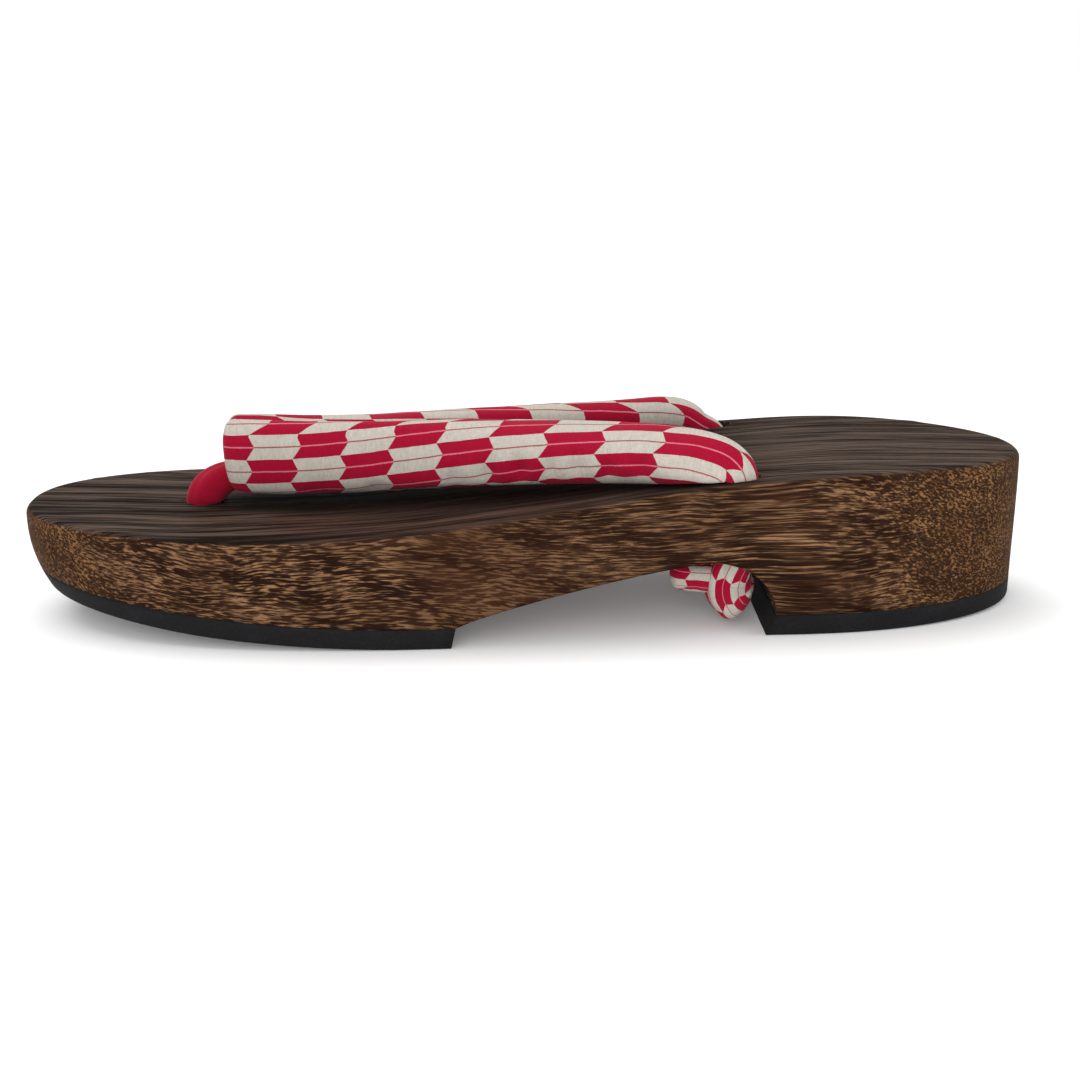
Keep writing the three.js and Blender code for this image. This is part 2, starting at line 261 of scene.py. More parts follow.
FOOTBED_STATIONS = [row["station"] for row in FOOTBED]
FOOTBED_HEIGHTS = [row["height"] for row in FOOTBED]


def footbed(station):
    return span_through(FOOTBED_STATIONS, FOOTBED_HEIGHTS, clamp(station, 0, LENGTH))


def spring_lift(station):
    """How far the underside is off the floor towards the toe and at the back of the heel."""
    from_toe = max(0, (TOE_SPRING["reach"] - station) / TOE_SPRING["reach"])
    from_back = max(0, (station - LENGTH + HEEL_SPRING["reach"]) / HEEL_SPRING["reach"])
    toe = TOE_SPRING["lift"] * from_toe ** TOE_SPRING["power"]
    return toe + HEEL_SPRING["lift"] * from_back ** HEEL_SPRING["power"]


def wood_underside(station):
    """The sawn profile: flat over the rubber at both ends, with the arch between them."""
    ends = spring_lift(station) + RUBBER["thickness"]
    if station <= ARCH["start"] or station >= ARCH["end"]:
        return ends
    is_front = station < ARCH["crown"]
    foot = ARCH["start"] if is_front else ARCH["end"]
    power = ARCH["front_power"] if is_front else ARCH["rear_power"]
    away = (station - ARCH["crown"]) / (foot - ARCH["crown"])
    return ends + (ARCH["height"] - RUBBER["thickness"]) * (1 - away**power) ** (1 / power)


def draft_at(station, height):
    """How far the side wall has leaned in by the time it is down at a height."""
    down = footbed(station) - height
    from_toe = max(0, (WALL["reach"] - station) / WALL["reach"])
    curl = WALL["toe_curl"] * max(0, down / WALL["curl_depth"]) ** WALL["curl_power"]
    return down * WALL["draft"] + curl * from_toe**2


def toe_side(inset_at, steps):
    """One side of the round of the toe, from its tip back to just before the ball."""
    line = []
    for i in range(steps):
        turn = i / steps * math.pi / 2
        back = math.cos(turn) ** (2 / TOE["power"])
        inset = inset_at(TOE["reach"] * (1 - back))
        half = (TOE["half_width"] - inset) * math.sin(turn) ** (2 / TOE["power"])
        line.append((TOE["reach"] - (TOE["reach"] - inset) * back, half))
    return line


def middle_side(inset_at, stations):
    line = []
    for station in stations:
        t = ease((station - TOE["reach"]) / (HEEL_CENTRE - TOE["reach"]))
        half = TOE["half_width"] + (HEEL["half_width"] - TOE["half_width"]) * t
        line.append((station, half - inset_at(station)))
    return line


def heel_side(inset_at, steps):
    line = []
    for i in range(steps + 1):
        turn = i / steps * math.pi / 2
        out = math.sin(turn) ** (2 / HEEL["power"])
        inset = inset_at(HEEL_CENTRE + HEEL["reach"] * out)
        width = 0 if i == steps else math.cos(turn) ** (2 / HEEL["power"])
        station = HEEL_CENTRE + (HEEL["reach"] - inset) * out
        line.append((station, (HEEL["half_width"] - inset) * width))
    return line


def both_sides(line):
    """A closed loop from one side's line: down the near side, and back along the far one."""
    near = [(station, -half) for station, half in line]
    far = [(station, half) for station, half in reversed(line) if half > 1e-6]
    return near + far


# ------------------------------------------------------------------ mesh helpers


def at_station(station, side, height):
    return Vector((station - LENGTH / 2, side, height))


def first_ring(bm, points):
    ring = bmesh.ops.create_circle(bm, segments=len(points), radius=1)["verts"]
    for corner, point in zip(ring, points):
        corner.co = point
    return ring


def next_ring(bm, ring, points):
    """Extrudes the loop and puts the new corners at the points, which are in the same order."""
    edges = [bm.edges.get((a, b)) for a, b in zip(ring, ring[1:] + ring[:1])]
    grown = bmesh.ops.extrude_edge_only(bm, edges=edges)["geom"]
    fresh = {part for part in grown if isinstance(part, bmesh.types.BMVert)}
    following = []
    for corner, point in zip(ring, points):
        risen = next(v for v in (e.other_vert(corner) for e in corner.link_edges) if v in fresh)
        risen.co = point
        following.append(risen)
    return following


def skin(rings):
    """A skin through rings of points, each with as many as the last."""
    bm = bmesh.new()
    ring = first_ring(bm, rings[0])
    for points in rings[1:]:
        ring = next_ring(bm, ring, points)
    return bm


def finish_piece(bm, name, material, merge=1e-3):
    """Merges doubles, turns the faces outwards, scales to metres and makes the object."""
    bmesh.ops.remove_doubles(bm, verts=bm.verts, dist=merge)
    bmesh.ops.dissolve_degenerate(bm, edges=bm.edges, dist=merge)
    bmesh.ops.recalc_face_normals(bm, faces=bm.faces)
    bmesh.ops.scale(bm, vec=Vector((MM, MM, MM)), verts=bm.verts)
    for face in bm.faces:
        face.smooth = True
    mesh = bpy.data.meshes.new(name)
    bm.to_mesh(mesh)
    bm.free()
    piece = bpy.data.objects.new(name, mesh)
    bpy.context.scene.collection.objects.link(piece)
    mesh.materials.append(material)
    return piece


def apply_modifiers(piece):
    """Bakes the piece's modifiers into its mesh."""
    graph = bpy.context.evaluated_depsgraph_get()
    graph.update()
    finished = bpy.data.meshes.new_from_object(piece.evaluated_get(graph))
    piece.modifiers.clear()
    piece.data = finished


def smooth_out(piece, levels=2):
    rounder = piece.modifiers.new("Finer", "SUBSURF")
    rounder.levels = levels
    rounder.render_levels = levels
    apply_modifiers(piece)


# ------------------------------------------------------------------ shader maths


class Term:
    """A number or colour that varies over a surface, so that shader maths reads as Python."""

    def __init__(self, graph, socket):
        self.graph = graph
        self.socket = socket

    def maths(self, operation, *inputs):
        return self.graph.node("ShaderNodeMath", {"operation": operation}, *inputs)

    def __add__(self, other):
        return self.maths("ADD", self, other)

    def __sub__(self, other):
        return self.maths("SUBTRACT", self, other)

    def __rsub__(self, other):
        return self.maths("SUBTRACT", other, self)

    def __mul__(self, other):
        return self.maths("MULTIPLY", self, other)

    def __truediv__(self, other):
        return self.maths("DIVIDE", self, other)

    def __mod__(self, other):
        return self.maths("FLOORED_MODULO", self, other)

    def __abs__(self):
        return self.maths("ABSOLUTE", self)

    __radd__ = __add__
    __rmul__ = __mul__

    def floor(self):
        return self.maths("FLOOR", self)

    def log(self):
        return self.maths("LOGARITHM", self, math.e)

    def largest(self, other):
        return self.maths("MAXIMUM", self, other)

    def smallest(self, other):
        return self.maths("MINIMUM", self, other)

    def between(self, low, high):
        """0 below low, 1 above high, and a smooth step between them. It falls if high < low."""
        settings = {"interpolation_type": "SMOOTHSTEP"}
        return self.graph.node("ShaderNodeMapRange", settings, self, low, high, 0.0, 1.0)


class Finish:
    """A material with a Principled shader, and the short ways in which its nodes are made."""

    def __init__(self, name, **constants):
        self.material = bpy.data.materials.new(name)
        self.material.use_nodes = True
        self.tree = self.material.node_tree
        self.shader = self.tree.nodes["Principled BSDF"]
        for socket, value in constants.items():
            self.shader.inputs[socket.replace("_", " ")].default_value = value

    def node(self, kind, settings, *inputs, output=0, **named):
        """A node with its settings, then its inputs by order or by name. Returns one output."""
        made = self.tree.nodes.new(kind)
        for setting, value in settings.items():
            setattr(made, setting, value)
        by_socket = [(made.inputs[i], value) for i, value in enumerate(inputs)]
        by_socket += [(made.inputs[name.replace("_", " ")], v) for name, v in named.items()]
        for socket, value in by_socket:
            if isinstance(value, Term):
                self.tree.links.new(value.socket, socket)
            elif value is not None:
                socket.default_value = value
        return Term(self, made.outputs[output])

    def feed(self, **sockets):
        for name, term in sockets.items():
            self.tree.links.new(term.socket, self.shader.inputs[name.replace("_", " ")])

    def split(self, vector):
        return [self.node("ShaderNodeSeparateXYZ", {}, vector, output=i) for i in range(3)]

    def join(self, x, y, z):
        return self.node("ShaderNodeCombineXYZ", {}, x, y, z)

    def place(self):
        """The point's own place on the object, in millimetres along x, y and z."""
        where = self.node("ShaderNodeTexCoord", {}, output="Object")
        scaled = self.node("ShaderNodeVectorMath", {"operation": "SCALE"}, where, Scale=1 / MM)
        return self.split(scaled)

    def cloth_place(self):
        """Millimetres along the sleeve and round it, from the piece's own UV map."""
        where = self.node("ShaderNodeUVMap", {"uv_map": CLOTH_MAP})
        along, around, _ = self.split(where)
        return along * CLOTH_UNIT, around * CLOTH_UNIT

    def noise(self, x, y, z, detail=2.0, roughness=0.5, distortion=0.0):
        """Noise of about -1 to 1 at the point x, y, z, whose features are one unit in size."""
        sockets = {"Scale": 1.0, "Detail": detail, "Roughness": roughness, "Distortion": distortion}
        raw = self.node("ShaderNodeTexNoise", {}, self.join(x, y, z), **sockets)
        return (raw - 0.5) * 2.0

    def mix(self, factor, first, second):
        """A blend of two colours, each a tuple or a term."""
        between = [None] * 5  # the sockets for blending numbers and vectors
        inputs = (factor, *between, first, second)
        return self.node("ShaderNodeMix", {"data_type": "RGBA"}, *inputs, output=2)

    def bump(self, height, distance):
        """Relief whose height is in millimetres for each unit of distance."""
        named = {"Strength": 1.0, "Distance": distance * MM, "Height": height}
        self.feed(Normal=self.node("ShaderNodeBump", {}, **named))


# ------------------------------------------------------------------ finishes


def plain(colour):
    """A colour property as the tuple that a socket takes."""
    return (*colour, 1.0)


def charred_wood(colours):
    """Dark burnt and brushed wood: tan streaks along the grain, and dull ridges on the footbed.

    The grain is solid: short dashes towards the toe, long streaks over the arch, and curls where
    the ends are cut across it.
    """
    made = Finish("burnt_brushed_wood", Specular_IOR_Level=0.01)
    x, y, z = made.place()
    drift = made.noise(x / 50, y / 25, z / 25, detail=1.0)
    sway = made.noise(x / 18, y / 14, z / 14 + 5, detail=1.0)
    across = y + drift * 3.0
    level = z + drift * 3.5 + sway * 1.3
    cloud = made.noise((x + z * 1.6) / 15, y / 18, z / 7, detail=2.0)
    dashes = made.noise(x / 4.0, across / 1.0, (level + x * 0.05) / 0.44, detail=1.5)
    streaks = made.noise(x / 16, across / 0.9, level / 0.40, detail=2.5, roughness=0.55)
    curls = made.noise(x / 1.05, y / 0.62, (z + x * 0.35) / 0.5, detail=1.0, distortion=0.5)
    fibre = made.noise(x / 7, across / 0.36, level / 0.24, detail=2.0, roughness=0.6)

    along = x + cloud * 14 + sway * 9 + z * 0.4
    over_arch = along.between(2.0, 34.0) * along.between(100.0, 66.0)
    at_ends = along.between(84.0, 106.0) + (along - z * 0.4).between(-88.0, -112.0)
    smooth_part = along.between(-36.0, -12.0) * along.between(26.0, 4.0)
    figure = dashes + (streaks - dashes) * over_arch
    figure = figure + (curls - figure) * at_ends
    light = (figure + fibre * 0.30 + cloud * 0.30).between(-0.09, 0.16)
    strength = 1 - smooth_part * 0.5 - abs(x).between(110.0, 121.0) * 0.55
    groove = (fibre - figure * 0.5).between(0.22, -0.30)

    side = made.mix(cloud.between(-0.35, 0.4), plain(colours.wood_dark), plain(colours.wood_red))
    side = made.mix(at_ends * 0.8, side, plain(colours.heel_brown))
    tan = made.mix(at_ends, plain(colours.wood_tan), plain(colours.wood_orange))
    tan = made.mix(sway.between(-0.4, 0.5) * 0.5, tan, plain(colours.wood_red))
    side = made.mix(light * strength, side, tan)
    side = made.mix((1 - groove) * 0.7 * strength, side, plain(colours.wood_burnt))

    ridge = made.noise(x / 80, across / 3.2, z / 60, detail=1.0)
    line = made.noise(x / 30, across / 0.8, z / 40, detail=3.0, roughness=0.6)
    # The ridges' lighter colour is partly the wood and partly painted sheen, standing in for the glancing
    # reflection off the footbed.
    worn = (ridge * 0.5 + line * 0.9).between(-0.28, 0.34)
    upper = made.mix(worn, plain(colours.wood_burnt), plain(colours.footbed_ridges_and_sheen))
    near_strap = (abs(x + 24) + cloud * 24).between(66.0, 22.0)
    upper = made.mix(near_strap * 0.7, upper, made.mix(worn, plain(colours.wood_burnt),
                                                       plain(colours.footbed_red)))
    # Painted shade: the footbed is darkened between the bands and close outside them, where the bands
    # shade it.
    band_line = (x + 72) * 0.27
    painted_band_shade = (abs(y) - band_line).between(17.0, 4.0)
    painted_band_shade = painted_band_shade * x.between(-84.0, -66.0) * x.between(64.0, 38.0)
    upper = made.mix(painted_band_shade * 0.95, upper, plain(colours.wood_burnt))

    facing = made.split(made.node("ShaderNodeNewGeometry", {}, output="Normal"))[2]
    is_top = facing.between(0.55, 0.9)
    shine = is_top * 0.10 + worn * is_top * -0.18 + (1 - light) * 0.10 + fibre * 0.1
    made.feed(
        Base_Color=made.mix(is_top, side, upper),
        Roughness=made.node("ShaderNodeMapRange", {}, shine, -0.2, 0.3, 0.36, 0.70),
    )
    wall_relief = light * 0.55 + fibre * 0.5 + figure * 0.4
    made.bump(wall_relief * (1 - is_top) + (ridge * 0.5 + line) * is_top, 0.34)
    return made.material


def black_rubber(colours):
    """Matt crepe rubber with a fine grain and a little dust."""
    made = Finish("crepe_rubber", Specular_IOR_Level=0.12)
    x, y, z = made.place()
    dust = made.noise(x / 9, y / 9, z / 3, detail=3.0)
    grain = made.noise(x / 0.7, y / 0.7, z / 0.7, detail=2.0)
    lighter = tuple(c * 2.2 + 0.004 for c in colours.rubber)
    dusty = (dust * 0.7 + grain * 0.5).between(-0.3, 1.1)
    colour = made.mix(dusty, plain(colours.rubber), plain(lighter))
    rough = made.node("ShaderNodeMapRange", {}, dust, -1.0, 1.0, 0.62, 0.85)
    made.feed(Base_Color=colour, Roughness=rough)
    made.bump(grain + dust * 0.6, 0.06)
    return made.material


def weave_of(made, along, around):
    """Fine crepe: threads across the sleeve, thinner ones along it, and slubs in both."""
    slub = made.noise(along / 0.9, around / 5.0, 0.0, detail=2.0)
    across = made.noise(along / 0.22, around / 1.6, 3.0, detail=1.0)
    lengthways = made.noise(along / 1.8, around / 0.2, 9.0, detail=1.0)
    return across * 0.55 + lengthways * 0.4 + slub * 0.3


def arrow_cotton(colours):
    """White crepe cotton printed with rows of red arrow feathers, each with a thin middle line."""
    made = Finish("printed_crepe", Roughness=0.88, Sheen_Weight=0.05, Sheen_Roughness=0.5,
                  Specular_IOR_Level=0.1)
    along, around = made.cloth_place()
    weave = weave_of(made, along, around)
    ragged = made.noise(along / 0.5, around / 0.5, 1.0, detail=1.0)
    slanted = (around - ARROWS["slant_from"]).largest(0.0) * ARROWS["slant"]
    slanted = slanted + around * ARROWS["tilt"]
    drawn_along = along - slanted + ragged * 0.09 + made.noise(along / 14, around / 7, 5.0) * 0.35
    drawn_around = around + ragged * 0.05 + made.noise(along / 9, around / 9, 8.0) * 0.32
    growth = ARROWS["growth"]
    cells = (drawn_along * (growth / ARROWS["cell"]) + 1).log() / growth + ARROWS["cut_off"]
    rows = (drawn_around + ARROWS["first_edge"] - along * ARROWS["drift"]) / ARROWS["row"]
    row = rows.floor()
    off_centre = abs(rows - row - 0.5)
    cell = (cells - (1 - off_centre * 2) * ARROWS["point"]).floor()
    is_white = (cell + row) % 2.0
    line_width = ARROWS["line"] / ARROWS["row"] * (1 + ragged * 0.35)
    is_line = (line_width * 1.35 - off_centre) / (line_width * 0.7)
    is_line = is_line.largest(0.0).smallest(1.0)
    ink = made.mix((weave * 0.8).between(-0.8, 0.9), plain(colours.ink_dark), plain(colours.ink_red))
    ground = made.mix((weave * 0.8).between(-0.7, 0.5), plain(colours.cotton_shade),
                      plain(colours.cotton_white))
    printed = made.mix(is_white, ink, ground)
    line_colour = made.mix(is_white, plain(colours.line_pink), plain(colours.ink_dark))
    made.feed(Base_Color=made.mix(is_line * (0.85 + weave * 0.2), printed, line_colour))
    made.bump(weave, 0.16)
    return made.material


def red_cotton(colours):
    """Plain crimson cotton with a soft nap."""
    made = Finish("crimson_crepe", Roughness=0.92, Sheen_Weight=0.08, Sheen_Roughness=0.45,
                  Specular_IOR_Level=0.15)
    along, around = made.cloth_place()
    weave = weave_of(made, along, around)
    worn = made.noise(along / 5, around / 4, 2.0, detail=2.0)
    colour = made.mix((weave * 0.5 + worn * 0.5).between(-0.7, 0.8), plain(colours.thong_dark),
                      plain(colours.thong_red))
    made.feed(Base_Color=colour)
    made.bump(weave, 0.09)
    return made.material


def pale_floor(colours):
    """A near-white floor. It glows a little, so that the shade under the arch stays soft."""
    made = Finish("pale_floor", Roughness=0.9, Specular_IOR_Level=0.1, Emission_Strength=0.10)
    x, y, _ = made.place()
    mottle = made.noise(x / 60, y / 60, 0.0)
    near_white = tuple(c * 0.985 for c in colours.floor)
    colour = made.mix(mottle.between(-1.0, 1.0), plain(colours.floor), plain(near_white))
    made.feed(Base_Color=colour)
    return made.material


# ------------------------------------------------------------------ the wood and its soles


def face_ring(line, inwards, height):
    """A ring on a wide face. It runs from the outline, at 0, to the face's spine, at 1.

    The spine is the middle line, stopped short of both ends.
    """
    ring = []
    for station, side in line:
        middle = clamp(station, TOE["reach"], HEEL_CENTRE)
        at = station + (middle - station) * inwards
        ring.append(at_station(at, side * (1 - inwards), height(at)))
    return ring


def block_rings(loop, floor, roof, round_top, face_rings, wall_rings):
    """Rings from the middle of the underside out, up the wall, and in over the top.

    loop(inset_at) is the outline for an inset given by station, and floor and roof are heights.
    """
    low = loop(lambda station: draft_at(station, floor(station)))
    rings = [face_ring(low, i / face_rings, floor) for i in range(face_rings, 0, -1)]
    for i in range(wall_rings + 1):
        up = i / wall_rings

        def height(station):
            return floor(station) + (roof(station) - round_top - floor(station)) * up

        line = loop(lambda station: draft_at(station, height(station)) * (1 - up * up))
        rings.append([at_station(station, side, height(station)) for station, side in line])
    round_steps = 5
    for i in range(1, round_steps + 1):
        turn = i / round_steps * math.pi / 2
        line = loop(lambda station: round_top * (1 - math.cos(turn)))
        drop = round_top * (1 - math.sin(turn))
        rings.append([at_station(station, side, roof(station) - drop) for station, side in line])
    return rings + [face_ring(line, i / face_rings, roof) for i in range(1, face_rings + 1)]


def board_loop(inset_at):
    """The board's outline, cut finer where the arch turns."""
    front_of_arch = [TOE["reach"] + step * 2 for step in range(7)]
    arch = [ARCH["start"] + step * 1.75 for step in range(34)]
    crown = [ARCH["crown"] + (ARCH["end"] - ARCH["crown"]) * math.sin(turn * math.pi / 26)
             for turn in range(1, 13)]
    stations = [*front_of_arch, *arch, *crown, ARCH["end"]]
    line = [*toe_side(inset_at, 64), *middle_side(inset_at, stations), *heel_side(inset_at, 52)]
    return both_sides(line)


def weathered(point, depth):
    """The brushed relief of the footbed: long ridges along the grain, in millimetres."""
    bend = noise.noise(Vector((point.x / 60, point.y / 22, 4))) * 3
    wide = noise.noise(Vector((point.x / 95, (point.y + bend) / 3.6, 0)))
    fine = noise.noise(Vector((point.x / 50, (point.y + bend) / 1.5, 9)))
    return depth * (wide + 0.5 * fine)


def cut_round(piece, hole):
    """Bores an upright hole through the piece."""
    bm = bmesh.new()
    bmesh.ops.create_cone(
        bm, cap_ends=True, segments=DRILL["sides"], radius1=hole["radius"], radius2=hole["radius"],
        depth=DRILL["length"],
    )
    middle = at_station(hole["station"], hole["side"], DRILL["middle"])
    bmesh.ops.translate(bm, vec=middle, verts=bm.verts)
    drill = finish_piece(bm, "drill", piece.data.materials[0])
    bore = piece.modifiers.new("Bore", "BOOLEAN")
    bore.operation = "DIFFERENCE"
    bore.solver = "EXACT"
    bore.object = drill
    apply_modifiers(piece)
    bpy.data.objects.remove(drill)


def make_board(sizes, material):
    rings = block_rings(board_loop, wood_underside, footbed, TOP_ROUND, face_rings=34, wall_rings=14)
    bm = skin(rings)
    bmesh.ops.remove_doubles(bm, verts=bm.verts, dist=1e-3)
    on_top = 0.02
    for corner in bm.verts:
        station = corner.co.x + LENGTH / 2
        if corner.co.z > footbed(station) - on_top:
            corner.co.z += weathered(corner.co, sizes.relief / MM)
    board = finish_piece(bm, "board", material)
    for hole in HOLES:
        cut_round(board, hole)
    return board


def sole_rings(loop, face_rings):
    """A sole follows the springs of the underside, and its lower edge is broken."""
    edge, top = RUBBER["edge"], RUBBER["thickness"] - RUBBER["clear"]
    rings = []
    for above, inset, inwards in [
        *[(0, edge, i / face_rings) for i in range(face_rings, 0, -1)],
        (0, edge, 0),
        (edge * 0.3, edge * 0.3, 0),
        (edge, 0, 0),
        *[(edge + (RUBBER["thickness"] - edge) * i / 4, 0, 0) for i in range(1, 4)],
        (top, 0, 0),
        *[(top, 0, i / face_rings) for i in range(1, face_rings + 1)],
    ]:
        def inset_at(station):
            return draft_at(station, spring_lift(station) + above) + inset

        ring = []
        for station, side, middle in loop(inset_at, above):
            at = station + (middle - station) * inwards
            ring.append(at_station(at, side * (1 - inwards), spring_lift(at) + above))
        rings.append(ring)
    return rings


def forefoot_loop(inset_at, above):
    """The forefoot sole's outline at a height above its lower face, and its spine."""
    end = ARCH["start"] - RUBBER["forefoot_slant"] * (1 - above / RUBBER["thickness"])
    line = [*toe_side(inset_at, 48), *middle_side(inset_at, [TOE["reach"], 97, 102, end])]
    across = [(end, -line[-1][1] + line[-1][1] * i / 12) for i in range(1, 24)]
    side_in = both_sides(line)
    turn = len(line)
    spine_end = 100
    loop = side_in[:turn] + across + side_in[turn:]
    return [(station, side, clamp(station, TOE["reach"], spine_end)) for station, side in loop]


def heel_loop(inset_at, above):
    """The heel sole's outline at a height above its lower face, and its spine."""
    front = ARCH["end"] - RUBBER["heel_slant"] * (1 - above / RUBBER["thickness"])
    line = [*middle_side(inset_at, [front]), *heel_side(inset_at, 44)]
    across = [(front, line[0][1] - line[0][1] * i / 10) for i in range(1, 20)]
    loop = both_sides(line) + across
    return [(station, side, HEEL_CENTRE + 1) for station, side in loop]


# ------------------------------------------------------------------ the padded strap


class Route:
    """A sleeve's centre line and its sections, by the distance along it."""

    def __init__(self, rows):
        self.centres = [at_station(row["station"], row["side"], row["height"]) for row in rows]
        self.reach = [0.0]
        for here, following in zip(self.centres, self.centres[1:]):
            self.reach.append(self.reach[-1] + (following - here).length)
        keys = ("tall", "thick", "lean")
        self.columns = {key: [row.get(key, 0) for row in rows] for key in keys}
        self.length = self.reach[-1]

    def centre(self, at):
        return Vector([span_through(self.reach, [c[axis] for c in self.centres], at) for axis in range(3)])

    def size(self, key, at):
        return span_through(self.reach, self.columns[key], at)


def sleeve_stops(length, spacing, nose):
    """Distances along a sleeve for its rings, closer where the nose rounds over."""
    turns = [0.06, 0.16, 0.3, 0.45, 0.6, 0.8]
    stops = [nose * (1 - math.cos(t * math.pi / 2)) for t in turns]
    count = round((length - nose) / spacing)
    stops += [nose + (length - nose) * i / count for i in range(count + 1)]
    return stops


def make_sleeve(route, start_up, outwards, nose, lean=0.0, spacing=2.0, gather=1.0):
    """A closed tube of cloth along a route, and each corner's place along it and round it.

    outwards is 1 or -1: which side of the section the pattern is centred on. gather is how many
    times as much cloth there is as shows.
    """
    sides, power = SLEEVE["sides"], SLEEVE["power"]
    stops = sleeve_stops(route.length, spacing, nose)
    up, before = Vector(start_up), None
    rings, arounds = [], []
    for at in stops:
        step = 0.5
        ahead, behind = min(at + step, route.length), max(at - step, 0)
        forward = (route.centre(ahead) - route.centre(behind)).normalized()
        if before:
            up.rotate(before.rotation_difference(forward))
        up = (up - forward * up.dot(forward)).normalized()
        before = forward
        tall_way = up.copy()
        tall_way.rotate(Quaternion(forward, math.radians(route.size("lean", at))))
        thick_way = tall_way.cross(forward) * outwards
        past = clamp(1 - at / nose, 0, 1) if nose else 0
        close = (1 - past**NOSE_POWER) ** (1 / NOSE_POWER)
        centre = route.centre(at)
        ring = []
        for i in range(sides):
            turn = (i / sides - 0.5) * 2 * math.pi
            round_way = (math.cos(turn), math.sin(turn))
            wide, high = (math.copysign(abs(w) ** (2 / power), w) for w in round_way)
            point = centre + thick_way * (route.size("thick", at) / 2 * close * wide)
            point += tall_way * (route.size("tall", at) / 2 * close * high)
            fade = 1 - ease(at / NOSE_LEAN["over"])
            point.x -= lean * fade * (point.z - NOSE_LEAN["height"])
            ring.append(point)
        round_it = [0.0]
        for i in range(sides):
            round_it.append(round_it[-1] + (ring[(i + 1) % sides] - ring[i]).length)
        arounds.append([length - round_it[sides // 2] for length in round_it])
        rings.append(ring)
    bm = skin(rings)
    bmesh.ops.holes_fill(bm, edges=[edge for edge in bm.edges if edge.is_boundary], sides=0)
    bm.verts.index_update()
    cloth = bm.loops.layers.uv.new(CLOTH_MAP)
    for face in bm.faces:
        is_seam = {0, sides - 1} <= {loop.vert.index % sides for loop in face.loops}
        for loop in face.loops:
            k, i = divmod(loop.vert.index, sides)
            around = arounds[k][sides if is_seam and i == 0 and len(face.loops) == 4 else i]
            loop[cloth].uv = Vector((stops[k], around)) * (gather / CLOTH_UNIT)
    marks = [(at, arounds[k][i]) for k, at in enumerate(stops) for i in range(sides)]
    return bm, marks


def press_folds(piece, marks, folds):
    """Soft troughs: each corner sinks along its normal by the folds that it lies in."""
    normals = [corner.normal.copy() for corner in piece.data.vertices]
    for corner, normal, (along, around) in zip(piece.data.vertices, normals, marks):
        sink = 0.0
        for fold in folds:
            far_along = (along - fold["along"]) / fold["long"]
            far_around = (around - fold["around"]) / fold["wide"]
            sink += fold["deep"] * math.exp(-far_along**2 - far_around**2)
        corner.co -= normal * sink * MM


def puff_up(piece, marks, held_from, pressure, cap):
    """Fills the sleeve by Cloth with pressure. Each corner moves by the cap at most."""
    start = [corner.co.copy() for corner in piece.data.vertices]
    held = piece.vertex_groups.new(name="held")
    for index, (along, _) in enumerate(marks):
        held.add([index], ease((along - held_from) / FILLING["hold_over"]), "REPLACE")
    cloth = piece.modifiers.new("Cloth", "CLOTH")
    settings = cloth.settings
    for setting, value in WADDING.items():
        setattr(settings, setting, value)
    settings.use_pressure = True
    settings.uniform_pressure_force = pressure
    settings.effector_weights.gravity = 0
    settings.vertex_group_mass = "held"
    cloth.point_cache.frame_start = 1
    cloth.point_cache.frame_end = FILLING["frames"]
    scene = bpy.context.scene
    for frame_number in range(1, FILLING["frames"] + 1):
        scene.frame_set(frame_number)
    graph = bpy.context.evaluated_depsgraph_get()
    puffed = [corner.co.copy() for corner in piece.evaluated_get(graph).data.vertices]
    piece.modifiers.remove(cloth)
    piece.vertex_groups.remove(held)
    scene.frame_set(1)
    for corner, before, after in zip(piece.data.vertices, start, puffed):
        moved = after - before
        if moved.length > cap:
            moved *= cap / moved.length
        corner.co = before + moved
    piece.data.update()


def rest_on_wood(piece):
    """Lifts what sank into the footbed, and keeps what goes down a hole inside its bore."""
    clear = SLEEVE["clear"]
    for corner in piece.data.vertices:
        point = corner.co / MM
        station = point.x + LENGTH / 2
        top = footbed(station) + clear
        if point.z > top:
            continue
        hole = min(HOLES, key=lambda h: math.hypot(station - h["station"], point.y - h["side"]))
        axis = at_station(hole["station"], hole["side"], point.z)
        out = point - axis
        if out.length < hole["radius"] + SLEEVE["beside_hole"]:
            point = axis + out * min(1.0, (hole["radius"] - clear) / max(out.length, clear))
        else:
            point.z = top
        corner.co = point * MM


def band_rows(hand):
    """A band's rows for the near (-1) or far (1) side, the far one pulled tighter."""
    rows = []
    for row in BAND:
        share = (row["station"] - FAR_PULL["from"]) / (FAR_PULL["full"] - FAR_PULL["from"])
        is_free = hand > 0 and row["height"] > footbed(row["station"])
        pull = clamp(share, 0, 1) if is_free else 0
        rows.append({
            **row,
            "station": row["station"] + pull * FAR_PULL["station"],
            "side": hand * (row["side"] + pull * FAR_PULL["side"]),
            "height": row["height"] + pull * FAR_PULL["height"],
            "lean": hand * row["lean"],
        })
    return rows


def mirrored(rows, hand):
    """A knot's rows for the near (-1) or far (1) side."""
    return [{**row, "side": hand * row["side"]} for row in rows]


# ------------------------------------------------------------------ the operators


class GetaSizes(bpy.types.PropertyGroup):
    """Sizes that change the finish of the sandal without moving its pieces"""

    relief: FloatProperty(
        name="Footbed relief", description="Height of the brushed ridges of the footbed",
        default=0.00022, subtype="DISTANCE", unit="LENGTH",
    )
    pressure: FloatProperty(
        name="Strap pressure", description="Pressure of the wadding in the strap", default=4.0
    )
    puff: FloatProperty(
        name="Strap puff", description="The most that the wadding moves the cloth",
        default=0.0012, subtype="DISTANCE", unit="LENGTH",
    )
    fill: FloatProperty(
        name="Strap fill", description="How full the strap is stuffed", default=0.75,
        subtype="FACTOR",
    )


def colour_property(name, description, *default):
    return FloatVectorProperty(
        name=name, description=description, default=default, subtype="COLOR", min=0, max=1
    )


